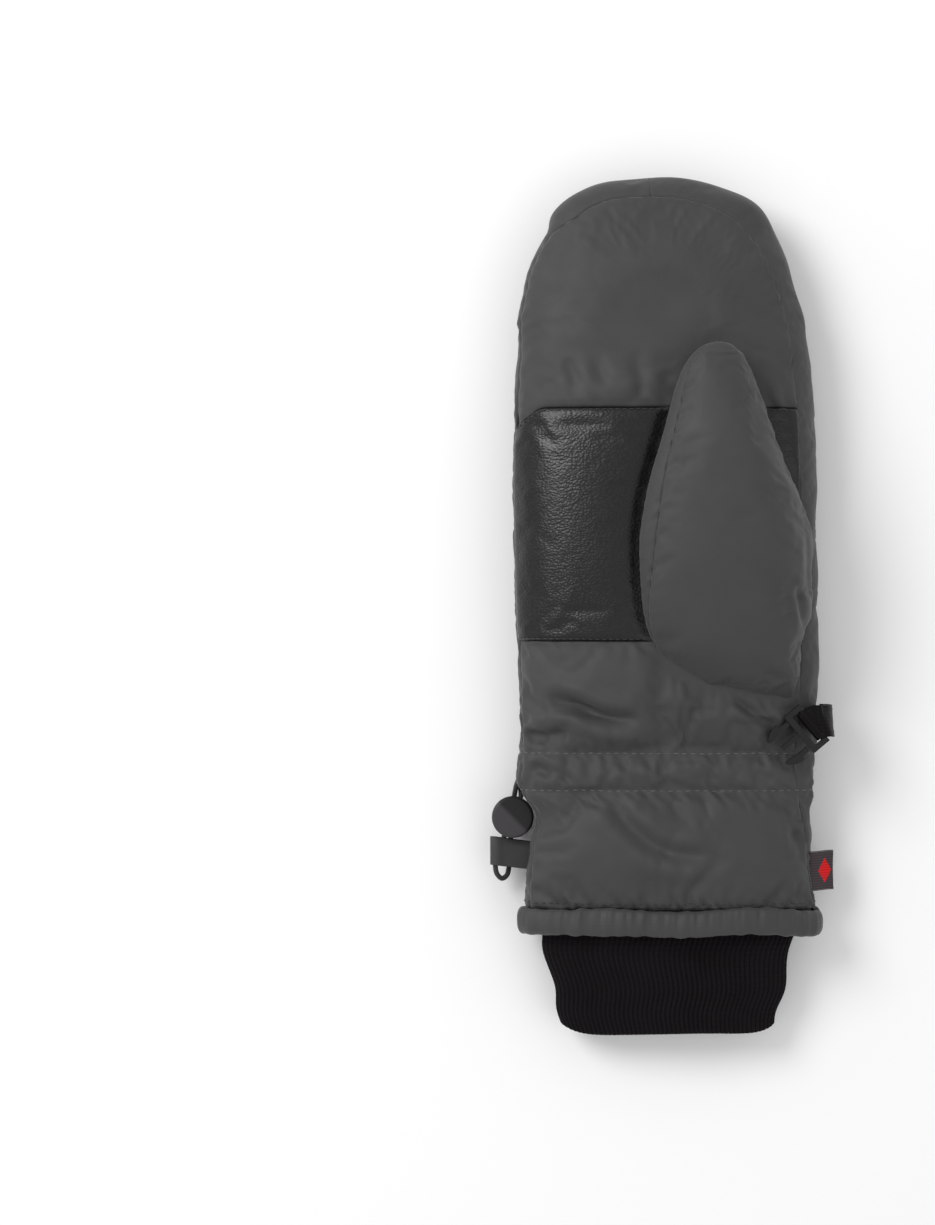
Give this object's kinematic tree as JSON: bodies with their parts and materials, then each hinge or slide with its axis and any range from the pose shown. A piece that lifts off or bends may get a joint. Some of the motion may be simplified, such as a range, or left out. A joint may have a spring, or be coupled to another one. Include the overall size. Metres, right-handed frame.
{
  "type": "ski mitten",
  "caption": "Insulated ski mitten for the right hand with leather palm patch, folded thumb, wrist drawcord and lock, buckle half on a strap, padded hem and ribbed knit cuff.",
  "frame": {"origin": "middle of the bottom of the bounding box, on the surface that the back of the mitten rests on", "axes": "+Y from the knit cuff to the fingertips, +X towards the thumb side, +Z out of the palm"},
  "size_m": [0.1338, 0.334, 0.0669],
  "materials": {
    "shell_fabric": "matte woven nylon",
    "lining_fabric": "brushed tricot",
    "insulation": "polyester fibre fill",
    "rib_knit": "fine rib knit",
    "leather": "pebbled goat leather with a slight sheen",
    "emblem": "matte embossed",
    "webbing": "satin nylon webbing",
    "black_plastic": "satin moulded acetal",
    "label": "woven label",
    "cord": "braided elastic cord",
    "spring_steel": "plain wire"
  },
  "bodies": {
    "hand": {"back_shell": "shell_fabric", "palm_shell_lower": "shell_fabric", "palm_patch": "leather", "palm_shell_upper": "shell_fabric", "thumb_side_gusset": "shell_fabric", "little_side_gusset": "shell_fabric", "thumb_collar": "shell_fabric", "back_insulation": "insulation", "palm_insulation": "insulation", "back_lining": "lining_fabric", "palm_lining": "lining_fabric", "wrist_casing_tape": "lining_fabric", "wrist_drawcord": "cord", "gauntlet_padding": "insulation", "gauntlet_facing": "lining_fabric", "hem_roll": "shell_fabric", "knit_cuff": "rib_knit", "back_emblem_patch": "emblem", "side_label": "label", "drawcord_loop": "cord", "drawcord_tab": "shell_fabric"},
    "thumb": {"thumb_shell_outer": "shell_fabric", "thumb_shell_inner": "shell_fabric", "thumb_insulation": "insulation", "thumb_lining": "lining_fabric"},
    "strap": {"buckle_strap": "webbing"},
    "buckle": {"buckle_frame": "black_plastic"},
    "prong_left": {"buckle_prong_left": "black_plastic"},
    "prong_right": {"buckle_prong_right": "black_plastic"},
    "cord_lock": {"cord_lock_body": "black_plastic", "cord_lock_spring": "spring_steel"},
    "lock_button": {"cord_lock_button": "black_plastic"}
  },
  "joints": [
    {"name": "thumb_swing", "type": "hinge", "parent": "hand", "child": "thumb", "pos_m": [0.0262, 0.002, 0.0425], "axis": [0, 0, 1], "range_deg": [-45, 15]},
    {"name": "strap_swing", "type": "hinge", "parent": "hand", "child": "strap", "pos_m": [0.0621, -0.044, 0.016], "axis": [0, 1, 0], "range_deg": [0, 100]},
    {"name": "buckle_swing", "type": "hinge", "parent": "strap", "child": "buckle", "pos_m": [0.057, -0.0451, 0.0342], "axis": [-0.6428, 0.766, 0], "range_deg": [0, 100]},
    {"name": "prong_left_flex", "type": "hinge", "parent": "buckle", "child": "prong_left", "pos_m": [0.05554, -0.05409, 0.0342], "axis": [0, 0, -1], "range_deg": [0, 8], "stiffness_Nm_per_rad": 0.1},
    {"name": "prong_right_flex", "type": "hinge", "parent": "buckle", "child": "prong_right", "pos_m": [0.04789, -0.04498, 0.0342], "axis": [0, 0, 1], "range_deg": [0, 8], "stiffness_Nm_per_rad": 0.1},
    {"name": "cord_lock_slide", "type": "slide", "parent": "hand", "child": "cord_lock", "axis": [-0.2419, -0.9703, 0], "range_m": [-0.0005, 0.0035]},
    {"name": "cord_lock_press", "type": "slide", "parent": "cord_lock", "child": "lock_button", "axis": [0, 0, -1], "range_m": [0, 0.0025], "stiffness_N_per_m": 1500, "springref_m": -0.002, "deforming": ["cord_lock_spring"]}
  ]
}
